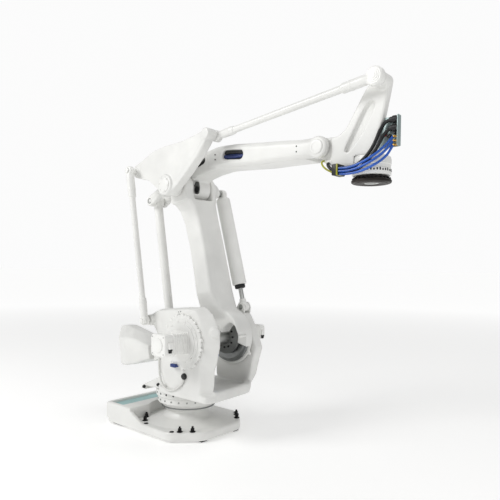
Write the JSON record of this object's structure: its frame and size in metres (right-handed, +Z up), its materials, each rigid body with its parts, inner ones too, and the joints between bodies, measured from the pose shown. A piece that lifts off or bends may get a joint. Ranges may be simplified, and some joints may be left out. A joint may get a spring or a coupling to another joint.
{
  "type": "palletizing robot arm",
  "caption": "Floor-mounted palletizing robot: a turning frame carries a lower arm, a cranked upper arm, levelling rods, a balancing cylinder and a turning tool disc.",
  "frame": {"origin": "on the floor, on the vertical turning axis", "axes": "+X the way the arm reaches at rest, +Z up, -Y the side of the levelling rods"},
  "size_m": [2.9207, 1.211, 2.6387],
  "materials": {
    "white_paint": "satin white enamel on cast iron",
    "motor_paint": "satin white motor paint",
    "bare_steel": "ground steel",
    "dark_disc": "dark phosphated steel disc",
    "black_plastic": "black moulded plastic",
    "teal_panel": "pale blue-green panel",
    "blue_hose": "smooth blue air hose",
    "earth_lead": "yellow and green earth lead"
  },
  "bodies": {
    "base": {"base_plate": "white_paint", "foot_pads": "bare_steel", "pedestal": "white_paint", "cable_box": "white_paint", "recess_panel": "teal_panel"},
    "frame": {"turning_flange": "white_paint", "frame": "white_paint", "near_gearbox": "white_paint", "far_gearbox": "white_paint", "near_motor": "motor_paint", "far_motor": "motor_paint", "shoulder_shaft": "bare_steel", "rear_housing": "white_paint", "rod_foot_pin": "bare_steel", "balancer_ears": "white_paint", "balancer_foot_pin": "bare_steel", "wall_cable": "motor_paint", "frame_hose": "blue_hose", "wall_connectors": "black_plastic", "rear_plugs": "black_plastic"},
    "lower_arm": {"lower_arm": "white_paint", "elbow_cover": "white_paint"},
    "balancer": {"balancer_cylinder": "white_paint"},
    "balancer_rod": {"balancer_rod": "bare_steel"},
    "parallel_arm": {"parallel_arm": "white_paint", "counterweight": "white_paint"},
    "crank_pin": {"crank_pin": "bare_steel"},
    "parallel_rod": {"parallel_rod": "white_paint"},
    "link": {"link_plate": "white_paint", "elbow_shaft": "bare_steel"},
    "lower_rod": {"lower_rod": "white_paint"},
    "upper_rod": {"upper_rod": "white_paint"},
    "upper_arm": {"upper_arm": "white_paint", "rear_pin": "bare_steel", "wrist_cover": "white_paint"},
    "wrist": {"tilt_house": "white_paint", "wrist_shaft": "bare_steel", "wrist_turret": "white_paint", "hose_clamp": "black_plastic", "black_hoses": "black_plastic", "blue_hoses": "blue_hose", "earth_loop": "earth_lead", "connector_plate": "teal_panel", "plug_connectors": "black_plastic"},
    "tool": {"turning_disc": "dark_disc"}
  },
  "joints": [
    {"name": "axis_1", "type": "hinge", "parent": "base", "child": "frame", "pos_m": [0, 0, 0.33], "axis": [0, 0, 1], "range_deg": [-180, 180]},
    {"name": "axis_2", "type": "hinge", "parent": "frame", "child": "lower_arm", "pos_m": [0.3, 0, 0.8145], "axis": [0, 1, 0], "range_deg": [-32.4, 69]},
    {"name": "axis_3", "type": "hinge", "parent": "frame", "child": "parallel_arm", "pos_m": [0.3, 0, 0.8145], "axis": [0, 1, 0], "range_deg": [-13.4, 67]},
    {"name": "crank_pin_turn", "type": "hinge", "parent": "parallel_arm", "child": "crank_pin", "pos_m": [-0.14268, 0, 0.73365], "axis": [0, 1, 0], "range_deg": [-67.05, 13.45]},
    {"name": "parallel_rod_turn", "type": "hinge", "parent": "crank_pin", "child": "parallel_rod", "pos_m": [-0.14268, 0, 0.73365], "axis": [0, 1, 0], "range_deg": [-32.45, 69.05]},
    {"name": "link_turn", "type": "hinge", "parent": "lower_arm", "child": "link", "pos_m": [0.08654, 0, 2.07658], "axis": [0, 1, 0], "range_deg": [-69.05, 32.45]},
    {"name": "lower_rod_turn", "type": "hinge", "parent": "frame", "child": "lower_rod", "pos_m": [-0.095, 0, 0.9605], "axis": [0, 1, 0], "range_deg": [-32.45, 69.05]},
    {"name": "upper_arm_turn", "type": "hinge", "parent": "link", "child": "upper_arm", "pos_m": [0.08654, 0, 2.07658], "axis": [0, 1, 0], "range_deg": [-13.45, 67.05]},
    {"name": "upper_rod_turn", "type": "hinge", "parent": "link", "child": "upper_rod", "pos_m": [0.54454, 0, 2.42358], "axis": [0, 1, 0], "range_deg": [-13.45, 67.05]},
    {"name": "wrist_level", "type": "hinge", "parent": "upper_arm", "child": "wrist", "pos_m": [1.42759, 0, 2.23174], "axis": [0, 1, 0], "range_deg": [-67.05, 13.45]},
    {"name": "wrist_turn", "type": "hinge", "parent": "wrist", "child": "tool", "pos_m": [1.75459, 0, 1.97074], "axis": [0, 0, -1], "range_deg": [-300, 300]},
    {"name": "balancer_swing", "type": "hinge", "parent": "frame", "child": "balancer_rod", "pos_m": [0.389, 0.29, 1.0665], "axis": [0, 1, 0], "range_deg": [-40.15, 85.45]},
    {"name": "balancer_stroke", "type": "slide", "parent": "balancer_rod", "child": "balancer", "axis": [0.2715, 0, -0.9624], "range_m": [-0.12, 0.04]}
  ],
  "couplings": [
    {"joint": "crank_pin_turn", "follows": "axis_3", "ratio": -1},
    {"joint": "parallel_rod_turn", "follows": "axis_2", "ratio": 1},
    {"joint": "link_turn", "follows": "axis_2", "ratio": -1},
    {"joint": "lower_rod_turn", "follows": "axis_2", "ratio": 1},
    {"joint": "upper_arm_turn", "follows": "axis_3", "ratio": 1},
    {"joint": "upper_rod_turn", "follows": "axis_3", "ratio": 1},
    {"joint": "wrist_level", "follows": "axis_3", "ratio": -1},
    {"joint": "balancer_swing", "follows": "axis_2", "ratio": 1.2377}
  ]
}
